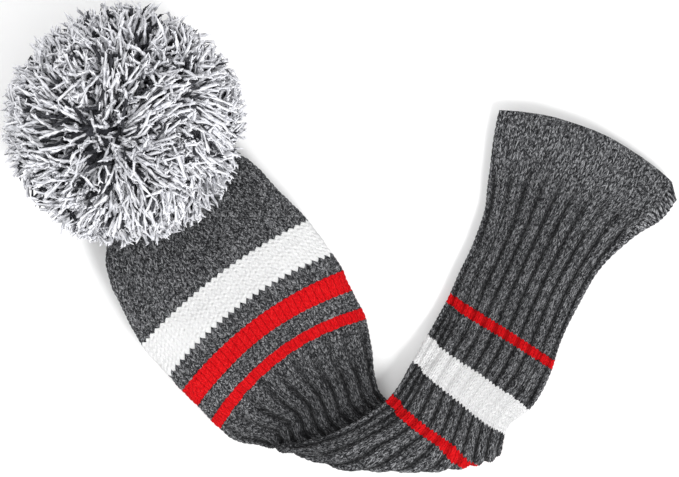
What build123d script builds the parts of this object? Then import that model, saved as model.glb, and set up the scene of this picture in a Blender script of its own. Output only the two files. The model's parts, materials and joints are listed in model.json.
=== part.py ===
from build123d import *
import math
import os

os.makedirs("parts", exist_ok=True)

# A knitted driver head cover lies flat. The head points up and left, the neck is folded back over the throat
# and points up and right. Lengths are in mm and angles in degrees. While it is built, x runs along the fold,
# y runs from the fold towards the head, and the floor is at z = 0.

# knitted wall and the tube at the fold
wall = 3.3
fold_width = 143
fold_height = 16
fold_gap = 1
knuckle_radius = 11
running_gap = 0.35

# head
head_lean = 36.87
head_start_x = -22
head_length = 209
crown_width = 126
crown_height = 38
throat_width = 112
throat_height = 28
gather_width = 26
gather_height = 20
gather_rise = 34

# colour bands of the head, measured up its centre line from the fold
head_red_narrow = (66, 71.5)
head_red_wide = (83, 94)
head_white = (107, 129.5)
head_course_radius = 205

# neck and its turned hem
neck_width = 75
neck_height = 17
mouth_width = 114
mouth_height = 21
hem_depth = 34
mouth_bow_radius = 165

# colour bands of the neck: a point on the band's first course, that course's slope, and the band's depth
neck_red_low = ((22, 4), -40, 5.5)
neck_white = ((43.5, 28.5), -37, 20)
neck_red_high = ((67.5, 67), -31, 5.5)
neck_course_radius = 320
hem_start = ((105.5, 149), -18.5)
mouth_lip = 3
join_thread = 1.4

# pompom
pompom_radius = 72
pompom_height = 62
pompom_setback = 25
tie_length = 8
tie_radius = 2.2
binding_radius = 9
sway_angle = 20
nod_angle = 20

# how square the tube's cross-section is, where 0.55 is an ellipse
fullness = 0.64


def turned(angle):
    return Vector(math.cos(math.radians(angle)), math.sin(math.radians(angle)), 0)


def section(place, angle, width, height, inset=0):
    """One closed cross-section of the flattened tube, standing upright, made of four curves."""
    half_width = width / 2 - inset
    half_height = height / 2 - inset
    plane = Plane(origin=place, x_dir=turned(angle), z_dir=turned(angle - 90))
    edges = []
    for quarter in range(4):
        start = (1, 0, -1, 0)[quarter], (0, 1, 0, -1)[quarter]
        finish = -start[1], start[0]
        handles = [
            start,
            (start[0] + finish[0] * fullness, start[1] + finish[1] * fullness),
            (finish[0] + start[0] * fullness, finish[1] + start[1] * fullness),
            finish,
        ]
        points = [plane.from_local_coords(Vector(x * half_width, y * half_height, 0)) for x, y in handles]
        edges.append(Edge.make_bezier(*points))
    return Wire(edges)


def tube(stations, inset=0):
    wires = [section(*station, inset) for station in stations]
    return Solid.make_loft(wires)


def cylinder_along(start, finish, radius):
    direction = Vector(*finish) - Vector(*start)
    plane = Plane(origin=start, z_dir=direction)
    return Solid.make_cylinder(radius, direction.length, plane)


def one(shape):
    """The single largest solid of a boolean result."""
    solids = shape.solids() if hasattr(shape, "solids") else shape
    return sorted(solids, key=lambda solid: solid.volume)[-1]


def below_course(place, uphill, radius):
    """An upright cylinder that holds all of a tube before one course, where the course bows uphill."""
    centre = Vector(*place) - turned(uphill) * radius
    return Solid.make_cylinder(radius, 250, Plane(origin=(centre.X, centre.Y, -50)))


def cut_bands(shell, courses):
    """The bands of a shell, from its start to its end, cut at each course in turn."""
    bands = []
    rest = shell
    for course in courses:
        bands.append(one(rest.intersect(course)))
        rest = one(rest - course)
    return bands + [rest]


above_floor = Solid.make_box(900, 900, 400, Plane(origin=(-450, -450, 0)))
middle_height = fold_height + fold_gap / 2
low_pivot = fold_height / 2
high_pivot = fold_height * 1.5 + fold_gap

# ---------------------------------------------------------------- head tube
head_base = Vector(head_start_x, 0, 0)
head_up = turned(90 + head_lean)
head_across = turned(head_lean)


def on_head(distance, sideways, rise):
    return head_base + head_up * distance + head_across * sideways + Vector(0, 0, rise)


head_stations = [
    (on_head(head_length, 5, gather_rise), head_lean, gather_width, gather_height),
    (on_head(head_length - 12, 4, 28), head_lean, crown_width * 0.52, 28),
    (on_head(head_length - 32, 2, 19), head_lean, crown_width * 0.81, 34),
    (on_head(head_length - 62, 0, crown_height / 2 - 0.8), head_lean, crown_width * 0.95, crown_height),
    (on_head(head_length - 88, 0, crown_height / 2 - 0.8), head_lean, crown_width, crown_height),
    (on_head(99, 0, crown_height / 2 - 0.8), head_lean, crown_width * 0.99, crown_height),
    (on_head(74, 0, 16), head_lean, throat_width + 6, throat_height + 5),
    (on_head(54, 0, 12.8), head_lean, throat_width, throat_height - 1),
    (on_head(36, 1, 9), head_lean, throat_width * 0.86, throat_height * 0.68),
    (on_head(20, 4, 7.5), head_lean, throat_width * 0.7, fold_height - 2.5),
]

# near the fold the tube spreads, so these sections stand parallel to the fold
spread_height = fold_height + 0.6
throat_stations = [
    (Vector(0, 0, low_pivot), 0, fold_width, fold_height),
    (Vector(-24, 10, low_pivot + 0.1), 0, fold_width * 0.84, spread_height),
    (Vector(-36, 26, low_pivot + 0.4), 0, fold_width * 0.5, spread_height - 1.5),
    (Vector(-37, 40, low_pivot + 1.2), 0, fold_width * 0.3, spread_height - 6),
]


def hollow(main, spread, inset):
    """The outside of a tube, or the room in it, made of its long part and its spread end at the fold."""
    long_part = tube(main, inset)
    end_part = tube(spread, inset)
    beyond_fold = Solid.make_box(900, 450, 400, Plane(origin=(-450, 0, -50)))
    return one(long_part.intersect(beyond_fold)).fuse(end_part)


head_outer = hollow(head_stations, throat_stations, 0)
head_room = hollow(head_stations[1:], throat_stations, wall)
head_shell = one(one(head_outer.intersect(above_floor)) - head_room)
print("head tube", head_shell.is_valid, round(head_shell.volume))

# ---------------------------------------------------------------- neck tube
mouth_rise = mouth_height / 2 - 0.5
neck_stations = [
    (Vector(45, 22, high_pivot - 1.5), -35, neck_width - 8, neck_height - 5),
    (Vector(53, 42, 18.5), -33, neck_width, neck_height),
    (Vector(68, 67, 12), -30, neck_width, neck_height),
    (Vector(81.5, 95, neck_height / 2), -26, neck_width, neck_height),
    (Vector(98, 129.5, neck_height / 2 - 0.5), -20, neck_width + 5, neck_height),
    (Vector(107.7, 146, neck_height / 2), -18.5, mouth_width * 0.84, neck_height + 1),
    (Vector(114, 161, mouth_rise - 0.2), -19.5, mouth_width * 0.95, mouth_height - 1),
    (Vector(122, 184, mouth_rise), -21, mouth_width, mouth_height),
    (Vector(128, 199, mouth_rise), -21, mouth_width + 1, mouth_height),
]
neck_spread_stations = [
    (Vector(0, 0, high_pivot), 0, fold_width, fold_height),
    (Vector(17, 8, high_pivot), 0, fold_width * 0.82, spread_height),
    (Vector(36, 22, high_pivot - 1.5), 0, neck_width + 6, spread_height),
    (Vector(44, 38, high_pivot - 6), 0, neck_width * 0.6, spread_height - 5),
]
neck_outer = hollow(neck_stations, neck_spread_stations, 0)
neck_lining = hollow(neck_stations, neck_spread_stations, wall)
hem_room = tube(neck_stations[-5:], wall * 1.9)
neck_shell = one(one(neck_outer.intersect(above_floor)) - neck_lining)
print("neck tube", neck_shell.is_valid, round(neck_shell.volume))


def knuckle(height, radius):
    """A bar along the fold, round which one leg of the fold turns."""
    return cylinder_along((-90, 0, height), (90, 0, height), radius)


# ---------------------------------------------------------------- fold
head_leg = one(head_shell.intersect(knuckle(low_pivot, knuckle_radius - running_gap)))
neck_leg = one(neck_shell.intersect(knuckle(high_pivot, knuckle_radius - running_gap)))
ring = section(Vector(0, 0, low_pivot), 0, fold_width, fold_height)
ring_room = section(Vector(0, 0, low_pivot), 0, fold_width, fold_height, wall)
turn_axis = Axis((0, 0, middle_height), (1, 0, 0))
bend = revolve(Face(ring, [ring_room]), turn_axis, -180)
fold_shell = one(bend.fuse(head_leg, neck_leg))
print("fold", fold_shell.is_valid, round(fold_shell.volume), fold_shell.bounding_box())

head_shell = one(head_shell - knuckle(low_pivot, knuckle_radius))
neck_shell = one(neck_shell - knuckle(high_pivot, knuckle_radius))
print(head_shell.bounding_box(), neck_shell.bounding_box())

# the low red stripe crosses the fold: over its top half it slopes down, and under it the same stripe slopes back
red_place, red_slope, red_depth = neck_red_low
red_start = Vector(*red_place)
red_end = red_start + turned(90 + red_slope) * red_depth
upper_half = Solid.make_box(900, 900, 200, Plane(origin=(-450, -450, middle_height)))
lower_half = Solid.make_box(900, 900, 200, Plane(origin=(-450, -450, middle_height - 200)))
outer_edge = -fold_height - fold_gap / 2


def both_ways(place):
    """All of the fold on the head's side of one course of the stripe."""
    over = below_course(place, 90 + red_slope, neck_course_radius)
    under = over.mirror(Plane(origin=(0, outer_edge, 0), z_dir=(0, 1, 0)))
    return one(over.intersect(upper_half)).fuse(one(under.intersect(lower_half)))


fold_rib, fold_red_stripe, fold_band = cut_bands(fold_shell, [both_ways(red_start), both_ways(red_end)])

# ---------------------------------------------------------------- bands of the head, from the fold to the tip
head_distances = [*head_red_narrow, *head_red_wide, *head_white]
head_courses = []
for distance in head_distances:
    head_courses.append(below_course(on_head(distance, 0, 0), 90 + head_lean, head_course_radius))
head_bands = cut_bands(head_shell, head_courses)
crown_panel = head_bands[-1]
throat_rib = head_bands[0]

# the tip is drawn up by a cord that lies in a groove round it
groove_place = on_head(head_length - 2, 5, gather_rise)
groove_band = Solid.extrude(Face(section(groove_place, head_lean, gather_width + 4, gather_height + 4)), head_up * -2.6)
groove_core = Solid.extrude(Face(section(groove_place, head_lean, gather_width - 2, gather_height - 1)), head_up * -2.6)
gather_cord = one(groove_band - groove_core)
crown_panel = one(crown_panel - gather_cord)

# ---------------------------------------------------------------- bands of the neck, from the fold to the mouth
neck_courses = []
for place, slope, depth in [neck_red_low, neck_white, neck_red_high]:
    start = Vector(*place)
    for corner in [start, start + turned(90 + slope) * depth]:
        neck_courses.append(below_course(corner, 90 + slope, neck_course_radius))
hem_place, hem_slope = hem_start
hem_up = turned(90 + hem_slope)
hem_course = below_course(hem_place, 90 + hem_slope, mouth_bow_radius)
thread_course = below_course(Vector(*hem_place) + hem_up * join_thread, 90 + hem_slope, mouth_bow_radius)
lip_course = below_course(Vector(*hem_place) + hem_up * (hem_depth - mouth_lip), 89 + hem_slope, mouth_bow_radius)
mouth_course = below_course(Vector(*hem_place) + hem_up * hem_depth, 89 + hem_slope, mouth_bow_radius)
neck_shell = one(neck_shell.intersect(mouth_course))
neck_bands = cut_bands(neck_shell, neck_courses + [hem_course])

# the hem is turned in at the mouth, and its inner layer is caught down by a thread
thread_room = tube(neck_stations[-5:], wall + join_thread)
lip = one(one(one(neck_lining.intersect(mouth_course)) - lip_course) - hem_room)
hem_outer = one(neck_bands[-1].fuse(lip))
hem_facing = one(one(one(neck_lining.intersect(lip_course)) - thread_course) - hem_room)
hem_thread = one(one(one(neck_lining.intersect(thread_course)) - hem_course) - thread_room)
print("bands")

# ---------------------------------------------------------------- pompom
tip = on_head(head_length, 5, gather_rise)
ball_centre = tip + head_up * pompom_setback + head_across * 4 + Vector(0, 0, pompom_height - gather_rise)
nod_pivot = tip + head_up * (tie_length + 1)


def from_tip(setback, rise=0):
    return tip + head_up * setback + Vector(0, 0, rise)


tie_cord = cylinder_along(from_tip(1.4), from_tip(tie_length - 0.4), tie_radius)
tie_knot = Solid.make_sphere(3, Plane(origin=from_tip(tie_length / 2 + 0.5)))
pompom_tie = one(tie_cord.fuse(tie_knot))

# the ball lies over the crown's tip, so all of it that is lower than the crown, with room to nod, is left out
face_setback = tie_length + 4
brow = 14
cut_plane = Plane(origin=from_tip(face_setback, brow), x_dir=head_across, z_dir=(0, 0, 1))
under_brow = Solid.make_box(300, 300, 200, Plane(origin=cut_plane.from_local_coords((-150, -300, -200)), x_dir=head_across))
slope_axis = Axis(cut_plane.origin, head_across)
raised = under_brow.rotate(slope_axis, -nod_angle)
ball = one(Solid.make_sphere(pompom_radius, Plane(origin=ball_centre)).intersect(above_floor))
behind_face = Solid.make_box(300, 300, 300, Plane(origin=cut_plane.from_local_coords((-150, 0, -200)), x_dir=head_across))
clear_of_crown = one(one(raised.fuse(under_brow)) - behind_face)
ball = one(ball - clear_of_crown)
stem_start = from_tip(face_setback - 0.8)
stem = cylinder_along(stem_start, ball_centre, 1.8)
stem_end = Solid.make_sphere(1.8, Plane(origin=stem_start))
wrap = Solid.make_torus(binding_radius, 2.6, Plane(origin=ball_centre, z_dir=ball_centre - stem_start))
spoke = cylinder_along(ball_centre - head_across * binding_radius, ball_centre + head_across * binding_radius, 1.8)
pompom_binding = one(stem.fuse(stem_end, spoke, wrap))
pompom_yarn = one(ball - pompom_binding)
print("pompom", pompom_yarn.is_valid, pompom_binding.is_valid)

nodes = {
    "crown_panel": crown_panel,
    "crown_white_stripe": head_bands[5],
    "crown_band_upper": head_bands[4],
    "crown_red_stripe_wide": head_bands[3],
    "crown_band_lower": head_bands[2],
    "crown_red_stripe_narrow": head_bands[1],
    "throat_rib": throat_rib,
    "crown_gather_cord": gather_cord,
    "fold_rib": fold_rib,
    "fold_red_stripe": fold_red_stripe,
    "fold_band": fold_band,
    "neck_rib_lower": neck_bands[0],
    "neck_red_stripe_lower": neck_bands[1],
    "neck_band_lower": neck_bands[2],
    "neck_white_stripe": neck_bands[3],
    "neck_band_upper": neck_bands[4],
    "neck_red_stripe_upper": neck_bands[5],
    "neck_rib_upper": neck_bands[6],
    "hem_outer": hem_outer,
    "hem_facing": hem_facing,
    "hem_join_thread": hem_thread,
    "pompom_tie": pompom_tie,
    "pompom_yarn": pompom_yarn,
    "pompom_binding": pompom_binding,
}

# the origin is under the middle of the whole cover, on the floor
boxes = [solid.bounding_box() for solid in nodes.values()]
middle_x = (min(box.min.X for box in boxes) + max(box.max.X for box in boxes)) / 2
middle_y = (min(box.min.Y for box in boxes) + max(box.max.Y for box in boxes)) / 2
lowest = min(box.min.Z for box in boxes)
shift = Vector(-middle_x, -middle_y, -lowest)

for name, solid in nodes.items():
    placed = solid.moved(Location(shift))
    placed.label = name
    export_step(placed, "parts/" + name + ".step", write_pcurves=False)
    print(name, placed.is_valid, round(placed.volume))
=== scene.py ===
import json
import math

import bpy
import numpy as np
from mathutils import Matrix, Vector


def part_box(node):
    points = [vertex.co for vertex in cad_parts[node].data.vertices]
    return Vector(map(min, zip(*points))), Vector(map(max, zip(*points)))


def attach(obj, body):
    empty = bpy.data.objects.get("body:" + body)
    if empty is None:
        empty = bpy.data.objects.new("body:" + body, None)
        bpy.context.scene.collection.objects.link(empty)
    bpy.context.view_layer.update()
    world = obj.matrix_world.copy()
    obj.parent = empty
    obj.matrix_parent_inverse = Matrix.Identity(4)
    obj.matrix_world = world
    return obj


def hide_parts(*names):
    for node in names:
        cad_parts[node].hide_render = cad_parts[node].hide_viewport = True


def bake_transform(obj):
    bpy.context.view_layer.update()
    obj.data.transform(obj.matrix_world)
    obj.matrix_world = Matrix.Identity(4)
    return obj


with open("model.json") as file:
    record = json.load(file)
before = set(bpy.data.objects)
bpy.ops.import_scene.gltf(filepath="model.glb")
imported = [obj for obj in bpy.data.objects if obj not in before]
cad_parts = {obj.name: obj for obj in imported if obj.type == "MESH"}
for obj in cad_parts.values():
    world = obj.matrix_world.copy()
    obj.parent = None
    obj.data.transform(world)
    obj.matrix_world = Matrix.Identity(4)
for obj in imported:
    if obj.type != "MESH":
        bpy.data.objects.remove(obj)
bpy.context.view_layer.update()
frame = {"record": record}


joints = {joint["name"]: joint for joint in frame["record"]["behaviour"]["joints"]}
foldPlace = np.array(joints["neck_unfold_lower"]["pos_m"]) * 1000
rowShift = np.array([foldPlace[0], foldPlace[1], 0.0])
tipLocal = np.array(joints["pompom_sway"]["pos_m"]) * 1000 - rowShift

# The cover is measured here in mm from the fold: x along it, y from it to the head, z up from the floor.
# A wale is a column of stitches down the tube, and a course is a round of them, counted from the crown's tip.
knit = {
    "wales": 60,
    "waleSamples": 8,  # mesh columns in a wale
    "courseSamples": 6,  # mesh rows in a course
    "relief": 1.15,  # how deep a stitch is
    "ribDepth": 1.75,
    "squareness": 2.5,  # of the tube's section, where 2 is an ellipse
    "toothCourses": (0, 29, 31, 33.5, 38, 40.5, 42, 52, 56, 84, 88, 100, 110, 114, 145),
    "toothDepths": (0.4, 0.4, 0.55, 0.65, 0.85, 0.5, 0.25, 0.15, 0.3, 0.3, 0.5, 0.5, 0.35, 0.4, 0.4),
    "seamWale": 33.2,  # the furrow where the rounds begin
}
waleCount = knit["wales"] * knit["waleSamples"]
lastCourse = float(knit["toothCourses"][-1])

# the head's own directions, the middle of its end at the fold, and its length
headUp = np.array([-0.6, 0.8])
headAcross = np.array([0.8, 0.6])
headStart = np.array([-22.0, 0.0])
headLength = 209.0


# half the distance between the two layers at the fold, which is small at the fold's corners
def foldDepth(x):
    return 2.5 + 6.0 * np.clip(1 - np.abs(x / 76.0) ** 3, 0, 1)


# the height of the fold's middle
def foldMiddle(x):
    return 7.5 + 9.0 * np.clip(1 - np.abs(x / 76.0) ** 3, 0, 1)


# a place on the neck, as it would be with the neck laid out straight beyond the fold
def onNeck(x, y):
    return (x, -(y + math.pi * float(foldDepth(x))))


# the tube's two edges on the head, that far down from its tip
def acrossHead(fromTip, width, shift):
    middle = headStart + headUp * (headLength - fromTip) + headAcross * shift
    return tuple(middle - headAcross * width / 2), tuple(middle + headAcross * width / 2)


# course, the tube's two edges there, its half height, the height of its middle, and how far the course bows
tubeStations = [
    (0, *acrossHead(2, 24, 5), 9.5, 34, 0),
    (6, *acrossHead(12, 65, 4), 13.5, 28.5, 1),
    (14, *acrossHead(32, 103, 2), 16.5, 20, 3),
    (23, *acrossHead(62, 120, 0), 18.4, 18.6, 4.5),
    (31, *acrossHead(86, 126, 0), 18.6, 18.6, 6),
    (38, *acrossHead(111, 125, 0), 18.2, 18.2, 8.5),
    (42, *acrossHead(122.7, 123, 0), 17.6, 17.6, 8.5),
    (46, *acrossHead(135.6, 118, -0.5), 16.5, 16.6, 9.5),
    (50, *acrossHead(147.4, 115.5, -0.8), 15, 15.2, 10.5),
    (52, *acrossHead(154.6, 112, -0.5), 14, 14.2, 11),
    (57, (-86, 1), (-7.8, 61), 11.5, 12, 8),
    (61, (-73, -1), (-5.5, 45), 9.6, 10, 6),
    (64, onNeck(-66, 0.5), (-2.5, 34), 8.8, 9, 5),
    (70, onNeck(-46, 4.5), (9, 23), 8.2, 8.4, 3),
    (77, onNeck(-24, 12), (38, 14), 8.0, 8.2, 2),
    (82, onNeck(-8, 21), (58, 8.5), 8.0, 8.2, 1),
    (86, onNeck(2, 29), (68, 3), 8.0, 8.2, 0),
    (94, onNeck(16.8, 51), onNeck(73.2, 6.5), 8.2, 8.4, 0),
    (100, onNeck(25.8, 67), onNeck(87, 21), 8.3, 8.5, 0),
    (108, onNeck(36, 87), onNeck(101, 45), 8.3, 8.5, 0),
    (114, onNeck(43, 104), onNeck(107, 60.5), 8.3, 8.5, -1),
    (121, onNeck(52.5, 123), onNeck(117, 85), 8.3, 8.5, -2),
    (129, onNeck(60, 146), onNeck(132, 109), 8.3, 8.5, -4),
    (135, onNeck(61.3, 162), onNeck(151, 131), 8.8, 9, -7),
    (140, onNeck(63.7, 181), onNeck(164.5, 144), 9.6, 9.8, -9),
    (145, onNeck(67.2, 202.3), onNeck(173.6, 158), 9.8, 10, -10.5),
]
stationCourses = np.array([station[0] for station in tubeStations], float)
stationValues = np.array([[*s[1], *s[2], s[3], s[4], s[5]] for s in tubeStations], float)


# values between the knots on a smooth curve that doesn't overshoot (monotone cubic)
def smoothColumns(at, knots, values):
    steps = np.diff(knots)[:, None]
    slopes = np.diff(values, axis=0) / steps
    product, total = slopes[:-1] * slopes[1:], slopes[:-1] + slopes[1:]
    mean = np.where(product > 0, 2 * product / np.where(np.abs(total) < 1e-9, 1, total), 0)
    tangents = np.vstack([slopes[:1], mean, slopes[-1:]])
    index = np.clip(np.searchsorted(knots, at, side="right") - 1, 0, len(knots) - 2)
    h = (knots[index + 1] - knots[index])[:, None]
    t = ((at - knots[index])[:, None]) / h
    a, b = values[index], values[index + 1]
    m, n = tangents[index] * h, tangents[index + 1] * h
    fromStart = (2 * t**3 - 3 * t**2 + 1) * a + (t**3 - 2 * t**2 + t) * m
    return fromStart + (3 * t**2 - 2 * t**3) * b + (t**3 - t**2) * n


def smoothstep(value, low, high):
    t = np.clip((value - low) / (high - low), 0, 1)
    return t * t * (3 - 2 * t)


# rises from 0 to 1 over the first two values and falls back over the last two
def between(value, start, full, fade, end):
    return smoothstep(value, start, full) * (1 - smoothstep(value, fade, end))


# a soft random field: the sum of a few sine waves in random directions
def sineNoise(seed, count, scale, *coords):
    rng = np.random.default_rng(seed)
    total = 0
    for _ in range(count):
        direction = rng.normal(size=len(coords))
        direction /= np.linalg.norm(direction)
        phase = rng.uniform(0, 2 * math.pi)
        size = rng.uniform(0.6, 1.6) / scale
        total = total + np.sin(sum(d * c for d, c in zip(direction, coords)) * size * 2 * math.pi + phase)
    return total / math.sqrt(count)


# a sine or cosine that draws a rounded rectangle in place of a circle
def squared(wave):
    return np.sign(wave) * np.abs(wave) ** (2 / knit["squareness"])


# wales are spread evenly round the section, so its length is measured in small steps for a few shapes
def evenAngle(ratios, share, shapeCount=24, angleCount=480):
    turn = np.linspace(0, 2 * math.pi, 721)
    cosine, sine = squared(np.cos(turn)), squared(np.sin(turn))
    shapes = np.linspace(ratios.min(), ratios.max() + 1e-6, shapeCount)
    tables = []
    for ratio in shapes:
        length = np.concatenate([[0], np.cumsum(np.hypot(np.diff(cosine), np.diff(sine) * ratio))])
        tables.append(np.interp(np.linspace(0, 1, angleCount + 1), length / length[-1], turn))
    tables = np.array(tables)
    place = (ratios - shapes[0]) / (shapes[1] - shapes[0])
    row = np.clip(place.astype(int), 0, shapeCount - 2)
    rowMix = place - row
    column = share % 1.0 * angleCount
    col = np.clip(column.astype(int), 0, angleCount - 1)
    colMix = column - col
    low = tables[row, col] * (1 - colMix) + tables[row, col + 1] * colMix
    high = tables[row + 1, col] * (1 - colMix) + tables[row + 1, col + 1] * colMix
    return low * (1 - rowMix) + high * rowMix


# the tube laid out straight, in mm from the fold; course and wale are arrays of the same shape
def straightTube(course, wale, inset, sideInset=None):
    flatCourse = course.ravel()
    inset = np.broadcast_to(inset, course.shape).ravel()
    sideInset = inset if sideInset is None else sideInset
    values = smoothColumns(flatCourse, stationCourses, stationValues).T
    leftX, leftY, rightX, rightY, halfHeight, middleHeight, bow = values
    acrossX, acrossY = rightX - leftX, rightY - leftY
    width = np.hypot(acrossX, acrossY)
    acrossX, acrossY = acrossX / width, acrossY / width
    alongX, alongY = -acrossY, acrossX
    halfWidth = width / 2 - sideInset
    halfHeight = np.maximum(halfHeight - inset, 0.6)
    angle = evenAngle(halfHeight / halfWidth, wale.ravel() / knit["wales"])
    c, s = squared(np.cos(angle)), squared(np.sin(angle))
    bowing = bow * (1 - c * c)
    # at the mouth the layer underneath has slipped a little way down
    slip = smoothstep(flatCourse, 124, 145) * smoothstep(c, -0.2, 1.0) * smoothstep(s, -0.04, 0.22)
    x = (leftX + rightX) / 2 + acrossX * c * halfWidth + alongX * bowing + 3.0 * slip
    y = (leftY + rightY) / 2 + acrossY * c * halfWidth + alongY * bowing + 11.0 * slip
    edgeDepth = foldDepth(leftX) * (1 - c) / 2 + foldDepth(rightX) * (1 + c) / 2
    return [part.reshape(course.shape) for part in (x, y, s * halfHeight, middleHeight, edgeDepth)]


def tubeSurface(course, wale, inset, sideInset=None):
    return foldOver(*straightTube(course, wale, inset, sideInset))


# above 0 on the head's side of the fold's middle line, below 0 on the neck's side
def beforeMiddle(course, wale):
    x, y = straightTube(course, wale, 1.2)[:2]
    return y + math.pi * foldDepth(x) / 2


# takes a place on the tube laid out straight to its place on the folded cover
def foldOver(x, y, lift, middleHeight, edgeDepth):
    depth, middle = foldDepth(x), foldMiddle(x)
    low, high = middle - depth, middle + depth
    beforeFold = y >= 0
    pastFold = y < -math.pi * depth
    around = np.clip(-y / depth, 0, math.pi)
    radius = depth - lift
    out = np.empty(x.shape + (3,))
    out[..., 0] = x
    headSide = smoothstep(y, 0, 42)
    beyond = -y - math.pi * depth
    beyond = beyond + math.pi * (depth - edgeDepth) * smoothstep(beyond, 0, 55)
    neckSide = smoothstep(beyond, 4, 84)
    # towards its left corner the fold is drawn in
    drawn = 0.12 + 0.88 * smoothstep(x, -78, -18)
    out[..., 1] = np.where(beforeFold, y, np.where(pastFold, beyond, -radius * np.sin(around) * drawn))
    headZ = low * (1 - headSide) + middleHeight * headSide + lift
    neckZ = high * (1 - neckSide) + middleHeight * neckSide - lift
    out[..., 2] = np.where(beforeFold, headZ, np.where(pastFold, neckZ, middle - radius * np.cos(around)))
    return out


# height from 0 to 1 of plain knitting, whose stitches are Vs that point down the tube
def stitchRelief(course, wale):
    x = wale % 1.0
    x = np.where(x < 0.5, x, 1 - x)
    y = course % 1.0
    best = np.zeros_like(x)
    for shift in (-1, 0, 1):
        t = (y - shift + 0.42) / 1.3
        middle = 0.09 + 0.33 * t
        across = (x - middle) / 0.23
        ends = np.clip(1 - np.abs(2 * t - 1) ** 2.6, 0, 1)
        height = np.sqrt(np.clip(1 - across**2, 0, 1)) * np.sqrt(ends) + 0.16 * (1 - t) * (ends > 0)
        best = np.maximum(best, np.where((t > 0) & (t < 1), height, 0))
    return best


# 1 where the tube is ribbed, 0 where it is knitted plain
def ribWeight(course):
    return between(course, 45, 58, 132.5, 139)


# how far the yarn stands out from the tube's smooth shape, in mm
def knitOffset(course, wale):
    stitch = stitchRelief(course, wale)
    inRib = (wale + 0.5) % 3.0
    fromPurl = np.abs(inRib - 2.0)
    fromPurl = np.minimum(fromPurl, 3.0 - fromPurl)
    valley = np.exp(-((fromPurl / 0.62) ** 2))
    crown = np.cos(math.pi * np.clip((fromPurl - 1.5) / 1.5, -1, 1)) * 0.35
    fromSide = np.minimum(wale % 30, 30 - wale % 30)
    rib = ribWeight(course) * (crown - valley) * (1 - 0.7 * np.exp(-((fromSide / 1.6) ** 2)))
    seam = np.exp(-(((wale - knit["seamWale"]) / 0.7) ** 2)) * between(course, 74, 82, 104, 114)
    # the rib is shallow from the throat to the white stripe, and opens out towards the mouth
    pull = 1.0 - 0.2 * smoothstep(course, 100, 134) - 0.4 * between(course, 60, 66, 99, 106)
    pleatCount, pleatDepth, pleatLength = 11, 2.2, 7.0
    aroundTube = wale / knit["wales"] * 2 * math.pi
    pleats = np.exp(-course / pleatLength) * np.sin(aroundTube * pleatCount) * pleatDepth
    stitches = knit["relief"] * (stitch - 0.75) * (1 - 0.35 * valley * ribWeight(course))
    return stitches + knit["ribDepth"] * (rib * pull - seam) + pleats


# the slight unevenness of cloth that lies loose
def softLumps(points):
    lumps = sineNoise(5, 6, 46.0, points[..., 0], points[..., 1], points[..., 2] * 2)
    small = sineNoise(9, 7, 17.0, points[..., 0], points[..., 1], points[..., 2] * 2)
    return lumps * 0.55 + small * 0.28


def gridNormals(points):
    along = np.gradient(points, axis=0)
    onward = np.roll(points, -1, axis=1) - np.roll(points, 1, axis=1)
    normals = np.cross(onward, along)
    normals /= np.maximum(np.linalg.norm(normals, axis=-1, keepdims=True), 1e-9)
    return normals


def toWorld(points):
    return (points + rowShift) / 1000


def makeMesh(name, points, quads, material, maps=None):
    mesh = bpy.data.meshes.new(name)
    mesh.vertices.add(len(points))
    mesh.vertices.foreach_set("co", toWorld(points).ravel().astype(np.float32))
    mesh.loops.add(quads.size)
    mesh.loops.foreach_set("vertex_index", quads.ravel().astype(np.int32))
    mesh.polygons.add(len(quads))
    mesh.polygons.foreach_set("loop_start", np.arange(0, quads.size, 4, dtype=np.int32))
    mesh.polygons.foreach_set("use_smooth", np.ones(len(quads), bool))
    for mapName, corners in (maps or {}).items():
        mesh.uv_layers.new(name=mapName).data.foreach_set("uv", corners.ravel().astype(np.float32))
    mesh.update(calc_edges=True)
    mesh.materials.append(material)
    piece = bpy.data.objects.new(name, mesh)
    bpy.context.scene.collection.objects.link(piece)
    return piece


# each row of the grid follows the points of its stitches, so colours meet in small teeth
def warpedGrid(courses):
    wales = np.arange(waleCount) / knit["waleSamples"]
    course, wale = np.meshgrid(courses, wales, indexing="ij")
    tooth = np.abs((wale % 1.0) - 0.5) * 2
    edge = np.clip(np.minimum(course, lastCourse - course) / 2, 0, 1)
    depth = np.interp(course, knit["toothCourses"], knit["toothDepths"])
    # the rounds don't quite meet at the seam, so the stripes step there
    step = 0.55 * between(wale, knit["seamWale"] - 0.4, knit["seamWale"] + 0.4, 36, 46)
    step = step * between(course, 80, 85, 104, 112)
    return np.clip(course - step + depth * (0.5 - tooth) * edge, 0, lastCourse), wale


# the stitched side and the smooth side of one band of the tube, each a grid of places
def knitLayers(start, finish, outerInset, innerInset, facing):
    courseCount = max(2, int(round((finish - start) * knit["courseSamples"])))
    courses = np.linspace(start, finish, courseCount + 1)
    step = courses[1] - courses[0]
    more = np.concatenate([[start - step], courses, [finish + step]])
    course, wale = warpedGrid(more)
    rim = smoothstep(course, 143.7, lastCourse) ** 2 if facing > 0 else 0
    inset = outerInset + (innerInset - outerInset) * rim
    base = tubeSurface(course, wale, inset, outerInset)
    normals = gridNormals(base)
    offset = knitOffset(course, wale) * (1 - 0.6 * rim)
    if facing < 0:
        offset = knit["relief"] * (0.75 - stitchRelief(course, wale))
    stitched = base + normals * (offset + softLumps(base))[..., None]
    stitched = stitched[1:-1]
    stitched[..., 2] = np.maximum(stitched[..., 2], 0.25)
    spacing = knit["courseSamples"] * 2
    innerCourses = courses[::spacing]
    if innerCourses[-1] < finish - 1e-6:
        innerCourses = np.append(innerCourses, finish)
    innerCourse, innerWale = warpedGrid(innerCourses)
    smooth = tubeSurface(innerCourse, innerWale, innerInset)
    smooth[..., 2] = np.maximum(smooth[..., 2], 0.9)
    return courses, stitched, innerCourses, smooth


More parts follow.
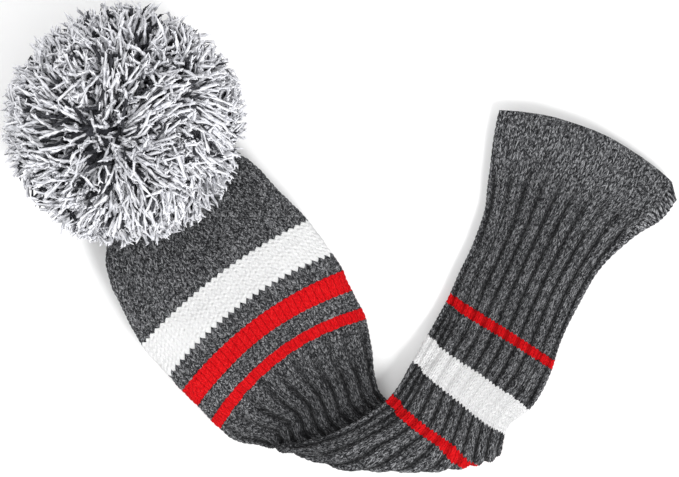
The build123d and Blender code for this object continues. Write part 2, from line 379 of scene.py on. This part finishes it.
# one band as a closed ring, with its maps and the side of the fold that each of its points is on
def knitBand(start, finish, outerInset=1.2, innerInset=3.8, facing=1):
    courses, stitched, innerCourses, smooth = knitLayers(start, finish, outerInset, innerInset, facing)
    rows, innerRows = len(courses), len(innerCourses)
    points = np.concatenate([stitched.reshape(-1, 3), smooth.reshape(-1, 3)])
    columns = np.arange(waleCount)
    onward = (columns + 1) % waleCount
    here, there = columns / waleCount, (columns + 1) / waleCount
    quads, stitchMap, bakeMap = [], [], []

    def strip(a, b, lowCourse, highCourse, lowBake, highBake, outward):
        order = [0, 1, 2, 3] if outward else [0, 3, 2, 1]
        quad = np.stack([a + columns, a + onward, b + onward, b + columns], axis=1)[:, order]
        u = np.stack([here, there, there, here], axis=1)[:, order]
        quads.append(quad)
        for chart, low, high in ((stitchMap, lowCourse / lastCourse, highCourse / lastCourse),
                                 (bakeMap, lowBake, highBake)):
            v = np.tile(np.array([low, low, high, high])[order], (waleCount, 1))
            chart.append(np.stack([u, v], axis=2))

    outer = (courses - start) / (finish - start) * 0.8
    inner = 0.82 + (innerCourses - start) / (finish - start) * 0.13
    for row in range(rows - 1):
        strip(row * waleCount, (row + 1) * waleCount, courses[row], courses[row + 1],
              outer[row], outer[row + 1], facing > 0)
    first = rows * waleCount
    for row in range(innerRows - 1):
        a = first + row * waleCount
        strip(a, a + waleCount, innerCourses[row], innerCourses[row + 1],
              inner[row], inner[row + 1], facing < 0)
    strip(0, first, start, start + 0.4, 0.96, 0.975, facing < 0)
    last, innerLast = (rows - 1) * waleCount, first + (innerRows - 1) * waleCount
    strip(last, innerLast, finish - 0.4, finish, 0.98, 0.995, facing > 0)
    sides = np.concatenate([beforeMiddle(*warpedGrid(part)).ravel() for part in (courses, innerCourses)])
    maps = {"OFBake": np.concatenate(bakeMap), "stitches": np.concatenate(stitchMap)}
    return points, np.concatenate(quads), maps, sides


def addKnit(name, yarn, nodes, points, quads, maps):
    piece = makeMesh(name, points, quads, yarn.material, maps)
    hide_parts(*nodes)
    return piece


def knitPiece(name, start, finish, yarn, nodes, body, **shape):
    points, quads, maps, _ = knitBand(start, finish, **shape)
    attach(addKnit(name, yarn, nodes, points, quads, maps), body)


# the fold's knitting is split into one piece up to the fold's middle line and one past it; neither is
# attached to the hinges that move the fold
def knitAcrossFold(name, start, finish, yarn, headNodes, neckNodes):
    points, quads, maps, sides = knitBand(start, finish)
    onHead = sides[quads].mean(axis=1) > 0
    far, near = (tuple(toWorld(np.array([0.0, y, 0.0]))) for y in (14.0, 1.0))
    for side, chosen, nodes in (("Head", onHead, headNodes), ("Neck", ~onHead, neckNodes)):
        if not chosen.any():
            continue
        used, renumbered = np.unique(quads[chosen], return_inverse=True)
        sideMaps = {key: corners[chosen] for key, corners in maps.items()}
        piece = addKnit(name + side, yarn, nodes, points[used], renumbered.reshape(-1, 4), sideMaps)
        if side == "Head":
            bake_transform(piece)
        else:
            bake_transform(piece)


# a value in a shader, which adds and multiplies like a number
class Field:
    def __init__(self, shader, socket):
        self.shader = shader
        self.socket = socket

    def combine(self, operation, other, swap=False):
        first, second = (other, self) if swap else (self, other)
        return self.shader.node("ShaderNodeMath", {"operation": operation}, [first, second])[0]

    def __add__(self, other):
        return self.combine("ADD", other)

    def __radd__(self, other):
        return self.combine("ADD", other, True)

    def __sub__(self, other):
        return self.combine("SUBTRACT", other)

    def __rsub__(self, other):
        return self.combine("SUBTRACT", other, True)

    def __mul__(self, other):
        return self.combine("MULTIPLY", other)

    def __rmul__(self, other):
        return self.combine("MULTIPLY", other, True)

    def __truediv__(self, other):
        return self.combine("DIVIDE", other)

    def __rtruediv__(self, other):
        return self.combine("DIVIDE", other, True)

    def function(self, operation, other=0.0):
        return self.combine(operation, other)

    def ramp(self, low, high):
        return self.shader.node("ShaderNodeMapRange", {}, [self, low, high, 0.0, 1.0])[0]


# one procedural material
class Shader:
    def __init__(self, name):
        self.material = bpy.data.materials.new(name)
        self.material.use_nodes = True
        self.tree = self.material.node_tree
        self.surface = self.tree.nodes["Principled BSDF"]

    def node(self, kind, settings=None, inputs=()):
        made = self.tree.nodes.new(kind)
        for key, value in (settings or {}).items():
            setattr(made, key, value)
        pairs = inputs.items() if isinstance(inputs, dict) else enumerate(inputs)
        for key, value in pairs:
            self.give(made.inputs[key], value)
        return [Field(self, output) for output in made.outputs]

    def give(self, target, value):
        if isinstance(value, Field):
            self.tree.links.new(value.socket, target)
        else:
            target.default_value = value

    def mix(self, factor, first, second):
        # a Mix node's sockets share their names, so its colour ones are numbered
        return self.node("ShaderNodeMix", {"data_type": "RGBA"}, {0: factor, 6: first, 7: second})[2]

    def vector(self, x, y, z=0.0):
        return self.node("ShaderNodeCombineXYZ", {}, [x, y, z])[0]

    def noise(self, place, scale, detail=2.0, roughness=0.5):
        inputs = {"Vector": place, "Scale": scale, "Detail": detail, "Roughness": roughness}
        return self.node("ShaderNodeTexNoise", {}, inputs)[0]

    def finish(self, color, roughness, height=None, distance=0.001, sheen=0.25):
        self.give(self.surface.inputs["Base Color"], color)
        self.give(self.surface.inputs["Roughness"], roughness)
        self.surface.inputs["Specular IOR Level"].default_value = 0.08
        self.surface.inputs["Sheen Weight"].default_value = sheen
        self.surface.inputs["Sheen Roughness"].default_value = 0.5
        if height is not None:
            bump = {"Strength": 0.8, "Distance": distance, "Height": height}
            self.give(self.surface.inputs["Normal"], self.node("ShaderNodeBump", {}, bump)[0])
        return self.material


# each yarn's flecks are dark, middle and light; its gap colour is painted shade between the legs and the
# stitches, with a share that sets how strong that shade is
yarnLooks = {
    "charcoal_yarn": {
        "dark": (0.0105, 0.011, 0.0125, 1),
        "middle": (0.080, 0.082, 0.088, 1),
        "light": (0.42, 0.425, 0.44, 1),
        "gapShade": (0.004, 0.0042, 0.005, 1),
        "gapShadeShare": 0.8,
        # the furrow share sets how strong the painted shade is in the rib's furrows, along the seam and over
        # the throat
        "furrowShade": 1.0,
        "spread": 0.045,
        "sheen": 0.03,
    },
    "white_yarn": {
        "dark": (0.80, 0.80, 0.81, 1),
        "middle": (0.90, 0.90, 0.90, 1),
        "light": (0.95, 0.95, 0.95, 1),
        "gapShade": (0.74, 0.74, 0.75, 1),
        "gapShadeShare": 0.18,
        "furrowShade": 0.1,
        "spread": 0.12,
        "sheen": 0.05,
    },
    "red_yarn": {
        "dark": (0.50, 0.002, 0.005, 1),
        "middle": (0.80, 0.006, 0.011, 1),
        "light": (0.90, 0.03, 0.03, 1),
        "gapShade": (0.22, 0.001, 0.002, 1),
        "gapShadeShare": 0.7,
        "furrowShade": 0.6,
        "spread": 0.12,
        "sheen": 0.0,
    },
}


# yarn as it is knitted: flecks and twisted plies that run along the legs of each stitch, with painted shade
# between the legs and the stitches, in the rib's furrows, along the seam and over the throat
class Yarn:
    def __init__(self, slot):
        look = yarnLooks[slot]
        self.slot = slot
        shader = Shader(slot)
        corner = shader.node("ShaderNodeUVMap", {"uv_map": "stitches"})[0]
        u, v, _ = shader.node("ShaderNodeSeparateXYZ", {}, [corner])
        wale, course = u * float(knit["wales"]), v * lastCourse
        fromEdge = 0.5 - (wale.function("FRACT") - 0.5).function("ABSOLUTE")
        leg = (wale * 2.0).function("FLOOR")
        place = (fromEdge - 0.09 - (course + 0.42) * 0.254) / 0.254
        legs = (place + 0.5).function("FRACT")
        fromLeg = (legs - 0.5).function("ABSOLUTE") * 2.0
        whichLeg = (place + 0.5).function("FLOOR")
        fibre = shader.vector(fromLeg * 0.7 + whichLeg * 5.3, course * 2.1 + leg * 0.37, leg * 2.61)
        strand = shader.vector(legs * 3.0 + whichLeg * 1.7, course * 5.0, leg * 0.77)
        fleck = shader.noise(fibre, 1.0, 2.0, 0.6)
        fine = shader.noise(strand, 1.3, 2.0, 0.6)
        mixed = fleck * 0.6 + fine * 0.4
        spread = look["spread"]
        lighter = mixed.ramp(0.51, 0.51 + spread * 1.6)
        darker = mixed.ramp(0.50, 0.50 - spread)
        color = shader.mix(lighter, look["middle"], look["light"])
        color = shader.mix(darker, color, look["dark"])
        solid = shader.node("ShaderNodeTexCoord")[3]
        cloudy = shader.noise(solid, 28.0, 2.0, 0.5).ramp(0.3, 0.7) * 0.16
        color = shader.mix(cloudy, color, look["dark"])
        betweenLegs = fromLeg.ramp(0.62, 1.0)
        betweenStitches = fromEdge.ramp(0.10, 0.0)
        fromPurl = (((wale + 1.5) / 3.0).function("FRACT") - 0.5).function("ABSOLUTE")
        ribbed = course.ramp(48.0, 60.0) * course.ramp(139.0, 133.0)
        # painted shade in the rib's furrows and along the seam, which also sink the bump
        furrowShade = fromPurl.ramp(0.27, 0.46) * ribbed
        seamed = course.ramp(74.0, 82.0) * course.ramp(112.0, 104.0)
        seam = (wale - knit["seamWale"]).function("ABSOLUTE").ramp(0.8, 0.15) * seamed
        furrowShade = furrowShade.function("MAXIMUM", seam)
        # painted shade over the throat by the fold's crease, between courses 50 and 76
        throatShade = course.ramp(50.0, 61.0) * course.ramp(76.0, 66.0) * 0.42
        # painted shade between the legs and between the stitches
        gapShade = (betweenLegs * 0.75 + betweenStitches * 0.8).function("MINIMUM", 1.0) * look["gapShadeShare"]
        color = shader.mix(gapShade, color, look["gapShade"])
        color = shader.mix(throatShade * look["furrowShade"], color, look["gapShade"])
        color = shader.mix(furrowShade * (0.88 * look["furrowShade"]), color, look["gapShade"])
        twist = ((course * 2.4 + legs * 1.2) * (2 * math.pi)).function("SINE")
        hairs = shader.noise(solid, 2600.0, 1.0, 0.6)
        height = twist * 0.28 + fine * 0.8 + hairs * 0.35
        height = height - betweenLegs * 0.9 - betweenStitches * 0.6 - furrowShade * 0.8
        self.material = shader.finish(color, 0.92, height, 0.0009, look["sheen"])


charcoal, white, red = Yarn("charcoal_yarn"), Yarn("white_yarn"), Yarn("red_yarn")
print("materials")

knitPiece("crownKnit", 0, 31, charcoal, ["crown_panel"], "head")
knitPiece("crownWhiteKnit", 31, 38, white, ["crown_white_stripe"], "head")
knitPiece("crownBandUpperKnit", 38, 42, charcoal, ["crown_band_upper"], "head")
knitPiece("crownRedWideKnit", 42, 46, red, ["crown_red_stripe_wide"], "head")
knitPiece("crownBandLowerKnit", 46, 50, charcoal, ["crown_band_lower"], "head")
print("crown")
knitAcrossFold("crownRedNarrowKnit", 50, 52, red, ["crown_red_stripe_narrow"], [])
knitAcrossFold("throatKnit", 52, 85, charcoal, ["throat_rib", "fold_rib"], ["neck_rib_lower", "fold_rib"])
knitAcrossFold("neckRedLowKnit", 85, 87, red,
               ["fold_red_stripe"], ["neck_red_stripe_lower", "fold_red_stripe"])
knitAcrossFold("neckBandLowKnit", 87, 94, charcoal, ["fold_band"], ["neck_band_lower", "fold_band"])
knitAcrossFold("neckWhiteKnit", 94, 100, white, ["fold_band"], ["neck_white_stripe"])
print("fold")
knitPiece("neckBandHighKnit", 100, 108, charcoal, ["neck_band_upper"], "neck")
knitPiece("neckRedHighKnit", 108, 110, red, ["neck_red_stripe_upper"], "neck")
knitPiece("neckRibKnit", 110, 135, charcoal, ["neck_rib_upper"], "neck")
knitPiece("hemKnit", 135, 145, charcoal, ["hem_outer"], "neck")
knitPiece("hemFacingKnit", 135.4, 144.2, charcoal, ["hem_facing"], "neck",
          outerInset=6.4, innerInset=4.1, facing=-1)
print("neck")

pompom = {
    "strands": 9600,
    "clumps": 460,  # locks that the strands lean together in
    "radius": 72.0,
    "core": 48.0,
    "thickness": 1.04,  # half a strand's width
    "sides": 5,
    "steps": 8,
    "whiteShare": 0.66,
    "parting": (6.0, 12.0),  # where the strands on top fall away from, beside the ball's middle
    "limpness": 0.24,
    "hairs": 2,  # loose fibres at a strand's end
}
# the face that the ball stays above where it is over the crown: where it begins, its height there, its slope
underside = {"back": 12.5, "height": 49.0, "slope": 0.37}
ballLow, ballHigh = (np.array(corner) * 1000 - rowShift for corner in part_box("pompom_yarn"))
ballMiddle = np.round([(ballLow[0] + ballHigh[0]) / 2, *(ballHigh[1:] - pompom["radius"])], 1)


# how far a place lies behind the crown's tip, away from the crown
def behindTip(points):
    return (points[..., :2] - tipLocal[:2]) @ headUp


def undersideHeight(back):
    return underside["height"] + underside["slope"] * (underside["back"] - back)


def overCrown(points, spare):
    back = behindTip(points)
    lowest = undersideHeight(back + 0.5) + spare
    points[..., 2] = np.where(back < underside["back"], np.maximum(points[..., 2], lowest), points[..., 2])
    points[..., 2] = np.maximum(points[..., 2], 1.3 + 0.5 * spare)
    return points


def unit(vectors):
    return vectors / np.maximum(np.linalg.norm(vectors, axis=-1, keepdims=True), 1e-9)


# directions spread evenly over a ball
def evenDirections(count):
    index = np.arange(count) + 0.5
    z = 1 - 2 * index / count
    turn = index * math.pi * (3 - math.sqrt(5))
    around = np.sqrt(1 - z * z)
    return np.stack([around * np.cos(turn), around * np.sin(turn), z], axis=1)


# the middle line of every cut strand, whether it is white, and how far its yarn is turned
def strandPaths(rng):
    count, clumps = pompom["strands"], pompom["clumps"]
    clumpWays = unit(evenDirections(clumps) + rng.normal(size=(clumps, 3)) * 0.05)
    start = unit(evenDirections(count) + rng.normal(size=(count, 3)) * 0.06)
    member = np.argmax(start @ clumpWays.T + rng.normal(size=(count, clumps)) * 0.004, axis=1)
    clump = clumpWays[member]
    sweep = np.stack([sineNoise(20 + axis, 5, 1.1, *clumpWays.T) for axis in range(3)], axis=1) * 0.24
    sweep += rng.normal(size=sweep.shape) * 0.15
    outward = start.copy()
    outward[:, 0] -= pompom["parting"][0] / pompom["radius"]
    outward[:, 1] -= pompom["parting"][1] / pompom["radius"]
    outward[:, 2] = 0
    outward /= np.maximum(np.linalg.norm(outward, axis=1, keepdims=True), 0.42)
    fall = np.clip(start[:, 2:], 0, 1) * pompom["limpness"] * rng.uniform(0.55, 1.25, (count, 1))
    # some strands stand nearly straight out between the locks, so that fewer gaps show the core
    follow = np.where(rng.uniform(size=(count, 1)) < 0.3, 0.1, 1.0)
    lean = (clump - start) * 0.35 + sweep[member] + outward * fall
    end = start + lean * follow + rng.normal(size=(count, 3)) * 0.11
    end[:, 2] -= 0.10
    end = unit(end)
    whiteBias = sineNoise(31, 5, 0.5, *clumpWays.T)[member] * 0.07
    isWhite = rng.uniform(size=count) < pompom["whiteShare"] + whiteBias
    clumpReach = rng.uniform(0.93, 1.03, clumps)[member]
    reach = pompom["radius"] * clumpReach * (1 - 0.26 * rng.uniform(0, 1, count) ** 1.6)
    reach = np.minimum(reach * np.where(isWhite, 1.0, 0.95), pompom["radius"] * 1.01)
    t = np.linspace(0, 1, pompom["steps"])
    bend = (t**1.6)[None, :, None]
    way = unit(start[:, None] * (1 - bend) + end[:, None] * bend)
    root = pompom["core"] * 0.8
    paths = ballMiddle + way * (root + (reach[:, None] - root) * t[None, :])[..., None]
    side = unit(np.cross(start, end) + 1e-6)
    wave = np.sin(t[None, :] * rng.uniform(2.5, 6.5, (count, 1)) + rng.uniform(0, 6.28, (count, 1)))
    paths += side[:, None] * (wave * t[None, :] * rng.uniform(0.6, 3.4, (count, 1)))[..., None]
    # strands that would end inside the crown lie back from it or over it, whichever is nearer
    spare = rng.uniform(0.2, 4.5, (count, 1))
    back = behindTip(paths)
    under = undersideHeight(back[:, -1]) - paths[:, -1, 2]
    over = underside["back"] - back[:, -1]
    inCrown = (under > 0) & (over > 0)
    liesBack = inCrown & (over < under)
    shove = np.maximum(underside["back"] + 0.2 + spare - back, 0) * liesBack[:, None]
    paths[..., :2] += shove[..., None] * headUp
    behind = underside["height"] - 1.2 * (back - underside["back"])
    slope = np.where(back < underside["back"], undersideHeight(back), behind) + spare
    liesOver = (inCrown & ~liesBack)[:, None]
    paths[..., 2] = np.where(liesOver, np.maximum(paths[..., 2], slope), paths[..., 2])
    # what would be bent too far, end well under the floor or pass through the crown's face is left out
    keep = ~(inCrown & (np.minimum(under, over) > 24)) & (paths[:, -1, 2] > -14)
    paths, isWhite, spare = paths[keep], isWhite[keep], spare[keep]
    back = behindTip(paths)
    jumps = (back < underside["back"]) & (paths[..., 2] < undersideHeight(back) - 3)
    keep = ~jumps.any(axis=1)
    paths = overCrown(paths[keep], spare[keep])
    return paths, isWhite[keep], rng.uniform(0, 1, len(paths))


# two directions across each path, at right angles to it
def frames(paths):
    tangent = unit(np.gradient(paths, axis=1))
    helper = np.where(np.abs(tangent[:, :1, 2:]) > 0.8, [1.0, 0.0, 0.0], [0.0, 0.0, 1.0])
    first = unit(np.cross(tangent, np.broadcast_to(helper, tangent.shape)))
    return first, np.cross(tangent, first)


# many tubes at once, as points, quads and map corners; lobes makes the two plies of a twisted yarn
def sweepTubes(paths, radii, sides, lobes, turns, phase):
    count, steps, _ = paths.shape
    first, second = frames(paths)
    angle = np.arange(sides) / sides * 2 * math.pi
    twist = phase[:, None] + turns * np.linspace(0, 1, steps)[None, :]
    shape = 1 + lobes * np.cos(2 * angle)
    size = radii[..., None] * shape[None, None, :]
    turned = angle[None, None, :] + twist[..., None]
    ring = paths[:, :, None] + first[:, :, None] * (np.cos(turned) * size)[..., None]
    ring = ring + second[:, :, None] * (np.sin(turned) * size)[..., None]
    points = ring.reshape(-1, 3)
    base = np.arange(count)[:, None, None] * steps * sides
    row = np.arange(steps - 1)[None, :, None] * sides
    a = np.arange(sides)[None, None, :]
    b = (a + 1) % sides
    low, high = base + row, base + row + sides
    quads = np.stack(np.broadcast_arrays(low + a, low + b, high + b, high + a), axis=-1)
    u = np.stack([a, a + 1, a + 1, a], axis=-1) / sides
    v = np.stack([row, row, row + sides, row + sides], axis=-1) / (sides * (steps - 1))
    corners = np.stack(np.broadcast_arrays(u, v), axis=-1) + np.zeros((count, 1, 1, 1, 1))
    return points, quads.reshape(-1, 4), corners


# every tube has its own cell in the map, so nothing in it overlaps
def packCells(corners, cells, firstCell):
    side = int(math.ceil(math.sqrt(cells)))
    index = np.arange(len(corners)) + firstCell
    low = np.stack([index % side, index // side], axis=-1)[:, None, None, None, :]
    return ((low + 0.05 + corners * 0.9) / side).reshape(-1, 4, 2)


def pompomPiece(name, points, quads, material, corners):
    piece = makeMesh(name, points, quads, material, {"OFBake": corners})
    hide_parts("pompom_yarn")
    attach(piece, "pompom")
    return piece


# a share of the cut strands, each with the loose fibres at its end
def fluff(name, paths, material, phase, rng):
    count, steps, _ = paths.shape
    t = np.linspace(0, 1, steps)
    taper = np.where(t > 0.93, 0.9, 1.0) * (0.8 + 0.3 * t)
    radii = pompom["thickness"] * taper[None, :] * rng.uniform(0.82, 1.15, (count, 1))
    turned = phase * 6.28
    points, quads, corners = sweepTubes(paths, radii, pompom["sides"], 0.3, 9.0, turned)
    cells = count * (1 + pompom["hairs"])
    maps = [packCells(corners, cells, 0)]
    allPoints, allQuads, seen = [points], [quads], len(points)
    tipWay = unit(paths[:, -1] - paths[:, -2])
    for hair in range(pompom["hairs"]):
        away = tipWay + rng.normal(size=tipWay.shape) * 0.42
        root = paths[:, -1] - tipWay * 1.2
        long = rng.uniform(1.4, 3.0, (count, 1))
        hairPaths = np.stack([root, root + tipWay * long * 0.5 + away * 0.2, root + away * long], axis=1)
        hairPaths = overCrown(hairPaths, 0.3)
        hairRadii = np.tile(np.array([0.66, 0.55, 0.26]), (count, 1))
        points, quads, corners = sweepTubes(hairPaths, hairRadii, 3, 0.0, 0.0, turned)
        allPoints.append(points)
        allQuads.append(quads + seen)
        seen += len(points)
        maps.append(packCells(corners, cells, count * (1 + hair)))
    allPoints, allQuads, maps = (np.concatenate(parts) for parts in (allPoints, allQuads, maps))
    pompomPiece(name, allPoints, allQuads, material, maps)


fluffLooks = {
    "pompom_white": ((0.60, 0.61, 0.66, 1), (0.84, 0.845, 0.88, 1), (0.92, 0.92, 0.94, 1)),
    "pompom_charcoal": ((0.012, 0.0125, 0.015, 1), (0.042, 0.043, 0.050, 1), (0.15, 0.152, 0.17, 1)),
    "dark_cord": ((0.006, 0.006, 0.007, 1), (0.022, 0.022, 0.025, 1), (0.07, 0.07, 0.075, 1)),
}


# loose yarn, with its dark, middle and light colours mixed in soft flecks
def fluffMaterial(name):
    dark, middle, light = fluffLooks[name]
    shader = Shader(name)
    place = shader.node("ShaderNodeTexCoord")[3]
    cloudy = shader.noise(place, 160.0, 3.0, 0.6)
    fine = shader.noise(place, 1500.0, 2.0, 0.6)
    mixed = cloudy * 0.5 + fine * 0.5
    color = shader.mix(mixed.ramp(0.5, 0.72), middle, light)
    color = shader.mix(mixed.ramp(0.5, 0.3), color, dark)
    return shader.finish(color, 0.9, fine, 0.0005, 0.05)


fluffWhite = fluffMaterial("pompom_white")
fluffDark = fluffMaterial("pompom_charcoal")
strandRng = np.random.default_rng(77)
paths, isWhite, phase = strandPaths(strandRng)
fromMiddle = paths[:, -1] - ballMiddle
turnOf = (np.arctan2(fromMiddle[:, 1], fromMiddle[:, 0]) + math.pi) / (2 * math.pi)
shades = (("White", isWhite, fluffWhite, 4), ("Charcoal", ~isWhite, fluffDark, 3))
for shade, chosen, material, parts in shades:
    # the strands of a shade are shared out by where they stand round the ball
    rank = np.argsort(np.argsort(np.where(chosen, turnOf, 2.0))) / chosen.sum()
    for part in range(parts):
        mine = chosen & (rank >= part / parts) & (rank < (part + 1) / parts)
        fluff(f"pompom{shade}{part + 1}", paths[mine], material, phase[mine], strandRng)
        print("strands", shade, part + 1, mine.sum())


# the imported roots of the strands, which are soft, as one charcoal ball; its darkness is partly painted
# shade deep inside the pompom, where white and charcoal strands lie in shade
def pompomCoreShade():
    turns, rises = 96, 48
    u = np.arange(turns) / turns * 2 * math.pi
    v = ((np.arange(rises) + 0.5) / rises * math.pi)[:, None]
    way = np.stack([np.sin(v) * np.cos(u), np.sin(v) * np.sin(u), np.cos(v) + 0 * u], axis=-1)
    lumps = 1 + 0.06 * sineNoise(41, 8, 0.35, way[..., 0], way[..., 1], way[..., 2])
    grid = ballMiddle + way * (pompom["core"] * 1.04 * lumps)[..., None]
    points = overCrown(grid.reshape(-1, 3), 0.3)
    a = np.arange(turns)
    b = (a + 1) % turns
    left, right = a / turns, (a + 1) / turns
    quads, corners = [], []
    for row in range(rises - 1):
        low, high = row * turns, (row + 1) * turns
        quads.append(np.stack([low + a, high + a, high + b, low + b], axis=1))
        bottom, top = np.full(turns, row / rises), np.full(turns, (row + 1) / rises)
        acrossMap = np.stack([left, left, right, right], axis=1)
        corners.append(np.stack([acrossMap, np.stack([bottom, top, top, bottom], axis=1)], axis=2))
    return pompomPiece("pompomHeartShade", points, np.concatenate(quads), fluffDark, np.concatenate(corners))


pompomCoreShade()
print("pompom")

cords = {
    "gatherCourse": 2.2,
    "gatherRadius": 1.3,
    "tieRadius": 1.9,
    "tieLength": 9.0,
    "stemStart": 11.2,
    "bindingRadius": 9.0,
    "bindingThickness": 3.0,
    "threadRadius": 0.45,
}
cordMaterial = fluffMaterial("dark_cord")


# twisted cord along its paths, which stands for one CAD node
def cordPiece(name, paths, radius, turns, node, body, sides=10, lobes=0.22):
    radii = np.full(paths.shape[:2], radius)
    points, quads, corners = sweepTubes(paths, radii, sides, lobes, turns, np.zeros(len(paths)))
    piece = makeMesh(name, points, quads, cordMaterial, {"OFBake": packCells(corners, len(paths), 0)})
    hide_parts(node)
    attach(piece, body)


# one turn round a middle, which may rise as it goes
def ringPath(middle, first, second, radius, rise=0.0, steps=120):
    share = np.linspace(0, 1, steps)[:, None]
    t = share * 2 * math.pi
    ring = radius * (np.cos(t) * first + np.sin(t) * second)
    return middle + ring + np.cross(first, second) * rise * share


upright = np.array([0.0, 0.0, 1.0])
tipWay, acrossWay = np.append(headUp, 0.0), np.append(headAcross, 0.0)

loopWales = np.linspace(0, knit["wales"], 241)
gatherLoop = tubeSurface(np.full(loopWales.shape, cords["gatherCourse"]), loopWales, 1.6)
cordPiece("gatherCord", gatherLoop[None], cords["gatherRadius"], 120.0, "crown_gather_cord", "head")

# the tie runs straight back from the tip, with two turns of knot round it
tieSteps = np.linspace(0.4, cords["tieLength"], 24)[:, None]
tie = [tipLocal + tieSteps * tipWay]
for place in (3.3, 4.9):
    tie.append(ringPath(tipLocal + tipWay * place, acrossWay, upright, cords["tieRadius"], 0.6, 24))
cordPiece("tieCord", np.stack(tie), cords["tieRadius"] * 0.62, 9.0, "pompom_tie", "tie")

# the binding goes from the tie into the ball and three times round its middle
stemStart = tipLocal + tipWay * cords["stemStart"]
stemSteps = np.linspace(0, 1, 120)[:, None]
stemWay = unit(ballMiddle - stemStart)
binding = [stemStart * (1 - stemSteps) + ballMiddle * stemSteps]
for shift in (-2.0, 0.0, 2.0):
    middle = ballMiddle + stemWay * shift
    binding.append(ringPath(middle, acrossWay, unit(np.cross(stemWay, acrossWay)), cords["bindingRadius"]))
cordPiece("bindingCord", np.stack(binding), cords["bindingThickness"] / 2, 40.0, "pompom_binding", "pompom")

# the thread goes in and out of the hem and its facing once for each wale
threadWales = np.linspace(0, knit["wales"], 1201)
threadTurn = threadWales * 2 * math.pi
threadLoop = tubeSurface(135.6 + 0.45 * np.sin(threadTurn), threadWales, 4.6 + 0.9 * np.cos(threadTurn))
cordPiece("hemThread", threadLoop[None], cords["threadRadius"], 300.0, "hem_join_thread", "neck", 6, 0.1)
print("cords")

studio = {
    "floorColor": (0.93, 0.93, 0.93, 1),
    "floorReach": 4.0,
    "skyStrength": 0.92,
    "keyPower": 44,
    "fillPower": 18,
    "frameWidth": 0.4074,  # m across the picture, at the place that the camera looks at
    "cameraDistance": 5.0,
    "lookAt": (-27.3, 124.5, 20.0),  # mm from the fold
}

floorShader = Shader("floorPale")
floorShader.give(floorShader.surface.inputs["Base Color"], studio["floorColor"])
floorShader.give(floorShader.surface.inputs["Roughness"], 0.9)
floorMesh = bpy.data.meshes.new("floor")
reach = studio["floorReach"]
floorCorners = [(-reach, -reach, 0), (reach, -reach, 0), (reach, reach, 0), (-reach, reach, 0)]
floorMesh.from_pydata(floorCorners, [], [(0, 1, 2, 3)])
floorMesh.materials.append(floorShader.material)
floor = bpy.data.objects.new("floor", floorMesh)
bpy.context.scene.collection.objects.link(floor)

world = bpy.data.worlds.new("studio")
bpy.context.scene.world = world
world.use_nodes = True
sky = world.node_tree.nodes["Background"]
sky.inputs["Color"].default_value = (1, 1, 1, 1)
sky.inputs["Strength"].default_value = studio["skyStrength"]


# a square light that shines at the middle of the cover
def areaLight(name, place, size, power):
    light = bpy.data.lights.new(name, "AREA")
    light.size = size
    light.energy = power
    lamp = bpy.data.objects.new(name, light)
    lamp.location = place
    lamp.rotation_euler = (-Vector(place)).to_track_quat("-Z", "Y").to_euler()
    bpy.context.scene.collection.objects.link(lamp)


areaLight("keyLight", (1.0, -1.1, 1.9), 0.8, studio["keyPower"])
areaLight("fillLight", (-1.3, 0.9, 1.8), 1.6, studio["fillPower"])

# the camera looks straight down
cameraData = bpy.data.cameras.new("camera")
cameraData.sensor_width = 36
cameraData.lens = cameraData.sensor_width * studio["cameraDistance"] / studio["frameWidth"]
camera = bpy.data.objects.new("camera", cameraData)
camera.location = toWorld(np.array(studio["lookAt"])) + np.array([0, 0, studio["cameraDistance"]])
bpy.context.scene.collection.objects.link(camera)
bpy.context.scene.camera = camera
bpy.context.scene.view_settings.view_transform = "Standard"
print("floor, light and camera")
